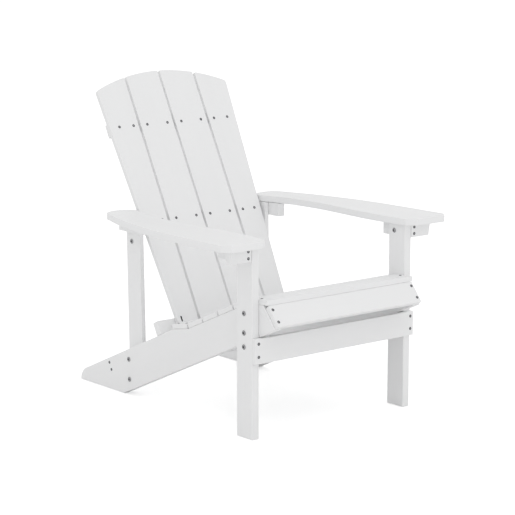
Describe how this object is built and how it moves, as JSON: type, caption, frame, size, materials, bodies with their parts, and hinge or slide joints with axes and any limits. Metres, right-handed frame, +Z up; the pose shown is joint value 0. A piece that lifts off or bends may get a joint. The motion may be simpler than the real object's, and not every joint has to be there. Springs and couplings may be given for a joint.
{
  "type": "adirondack chair",
  "caption": "Low garden armchair with a reclined slatted back, sloping slatted seat, wide flat armrests and side rails that run down to the ground behind.",
  "frame": {"origin": "on the ground under the middle of the chair's outline", "axes": "+Z up, the chair faces -Y, X runs from the sitter's right (-X) to the sitter's left (+X); the chair is mirror-symmetric about X = 0"},
  "size_m": [0.814, 0.9369, 0.9263],
  "materials": {
    "apron": "white plastic timber, faint brushed grain",
    "apron_screw_left_1": "satin stainless steel",
    "apron_screw_left_2": "satin stainless steel",
    "apron_screw_right_1": "satin stainless steel",
    "apron_screw_right_2": "satin stainless steel",
    "arm_bracket_left": "white plastic timber, faint brushed grain",
    "arm_bracket_right": "white plastic timber, faint brushed grain",
    "armrest_left": "white plastic timber, faint brushed grain",
    "armrest_right": "white plastic timber, faint brushed grain",
    "back_rail_lower": "white plastic timber, faint brushed grain",
    "back_rail_middle": "white plastic timber, faint brushed grain",
    "back_rail_upper": "white plastic timber, faint brushed grain",
    "back_slat_inner_left": "white plastic timber, faint brushed grain",
    "back_slat_inner_right": "white plastic timber, faint brushed grain",
    "back_slat_outer_left": "white plastic timber, faint brushed grain",
    "back_slat_outer_right": "white plastic timber, faint brushed grain",
    "front_cleat_bolt_left": "satin stainless steel",
    "front_cleat_bolt_right": "satin stainless steel",
    "front_cleat_left": "white plastic timber, faint brushed grain",
    "front_cleat_right": "white plastic timber, faint brushed grain",
    "front_leg_left": "white plastic timber, faint brushed grain",
    "front_leg_right": "white plastic timber, faint brushed grain",
    "ledger_bolt_left": "satin stainless steel",
    "ledger_bolt_right": "satin stainless steel",
    "ledger_left": "white plastic timber, faint brushed grain",
    "ledger_right": "white plastic timber, faint brushed grain",
    "leg_bolt_left_1": "satin stainless steel",
    "leg_bolt_left_2": "satin stainless steel",
    "leg_bolt_right_1": "satin stainless steel",
    "leg_bolt_right_2": "satin stainless steel",
    "lip_screw_left_1": "satin stainless steel",
    "lip_screw_left_2": "satin stainless steel",
    "lip_screw_right_1": "satin stainless steel",
    "lip_screw_right_2": "satin stainless steel",
    "post_bolt_left_1": "satin stainless steel",
    "post_bolt_left_2": "satin stainless steel",
    "post_bolt_right_1": "satin stainless steel",
    "post_bolt_right_2": "satin stainless steel",
    "rail_rest_left": "white plastic timber, faint brushed grain",
    "rail_rest_right": "white plastic timber, faint brushed grain",
    "rear_cleat_bolt_left": "satin stainless steel",
    "rear_cleat_bolt_right": "satin stainless steel",
    "rear_cleat_left": "white plastic timber, faint brushed grain",
    "rear_cleat_right": "white plastic timber, faint brushed grain",
    "rear_post_left": "white plastic timber, faint brushed grain",
    "rear_post_right": "white plastic timber, faint brushed grain",
    "rear_stretcher": "white plastic timber, faint brushed grain",
    "rest_bolt_left": "satin stainless steel",
    "rest_bolt_right": "satin stainless steel",
    "seat_lip": "white plastic timber, faint brushed grain",
    "seat_slat_1": "white plastic timber, faint brushed grain",
    "seat_slat_2": "white plastic timber, faint brushed grain",
    "seat_slat_3": "white plastic timber, faint brushed grain",
    "seat_slat_4": "white plastic timber, faint brushed grain",
    "seat_slat_5": "white plastic timber, faint brushed grain",
    "seat_slat_6": "white plastic timber, faint brushed grain",
    "stringer_left": "white plastic timber, faint brushed grain",
    "stringer_right": "white plastic timber, faint brushed grain"
  },
  "bodies": {
    "root": {"apron": "apron", "apron_screw_left_1": "apron_screw_left_1", "apron_screw_left_2": "apron_screw_left_2", "apron_screw_right_1": "apron_screw_right_1", "apron_screw_right_2": "apron_screw_right_2", "arm_bracket_left": "arm_bracket_left", "arm_bracket_right": "arm_bracket_right", "armrest_left": "armrest_left", "armrest_right": "armrest_right", "back_rail_lower": "back_rail_lower", "back_rail_middle": "back_rail_middle", "back_rail_upper": "back_rail_upper", "back_slat_inner_left": "back_slat_inner_left", "back_slat_inner_right": "back_slat_inner_right", "back_slat_outer_left": "back_slat_outer_left", "back_slat_outer_right": "back_slat_outer_right", "front_cleat_bolt_left": "front_cleat_bolt_left", "front_cleat_bolt_right": "front_cleat_bolt_right", "front_cleat_left": "front_cleat_left", "front_cleat_right": "front_cleat_right", "front_leg_left": "front_leg_left", "front_leg_right": "front_leg_right", "ledger_bolt_left": "ledger_bolt_left", "ledger_bolt_right": "ledger_bolt_right", "ledger_left": "ledger_left", "ledger_right": "ledger_right", "leg_bolt_left_1": "leg_bolt_left_1", "leg_bolt_left_2": "leg_bolt_left_2", "leg_bolt_right_1": "leg_bolt_right_1", "leg_bolt_right_2": "leg_bolt_right_2", "lip_screw_left_1": "lip_screw_left_1", "lip_screw_left_2": "lip_screw_left_2", "lip_screw_right_1": "lip_screw_right_1", "lip_screw_right_2": "lip_screw_right_2", "post_bolt_left_1": "post_bolt_left_1", "post_bolt_left_2": "post_bolt_left_2", "post_bolt_right_1": "post_bolt_right_1", "post_bolt_right_2": "post_bolt_right_2", "rail_rest_left": "rail_rest_left", "rail_rest_right": "rail_rest_right", "rear_cleat_bolt_left": "rear_cleat_bolt_left", "rear_cleat_bolt_right": "rear_cleat_bolt_right", "rear_cleat_left": "rear_cleat_left", "rear_cleat_right": "rear_cleat_right", "rear_post_left": "rear_post_left", "rear_post_right": "rear_post_right", "rear_stretcher": "rear_stretcher", "rest_bolt_left": "rest_bolt_left", "rest_bolt_right": "rest_bolt_right", "seat_lip": "seat_lip", "seat_slat_1": "seat_slat_1", "seat_slat_2": "seat_slat_2", "seat_slat_3": "seat_slat_3", "seat_slat_4": "seat_slat_4", "seat_slat_5": "seat_slat_5", "seat_slat_6": "seat_slat_6", "stringer_left": "stringer_left", "stringer_right": "stringer_right"}
  },
  "joints": []
}
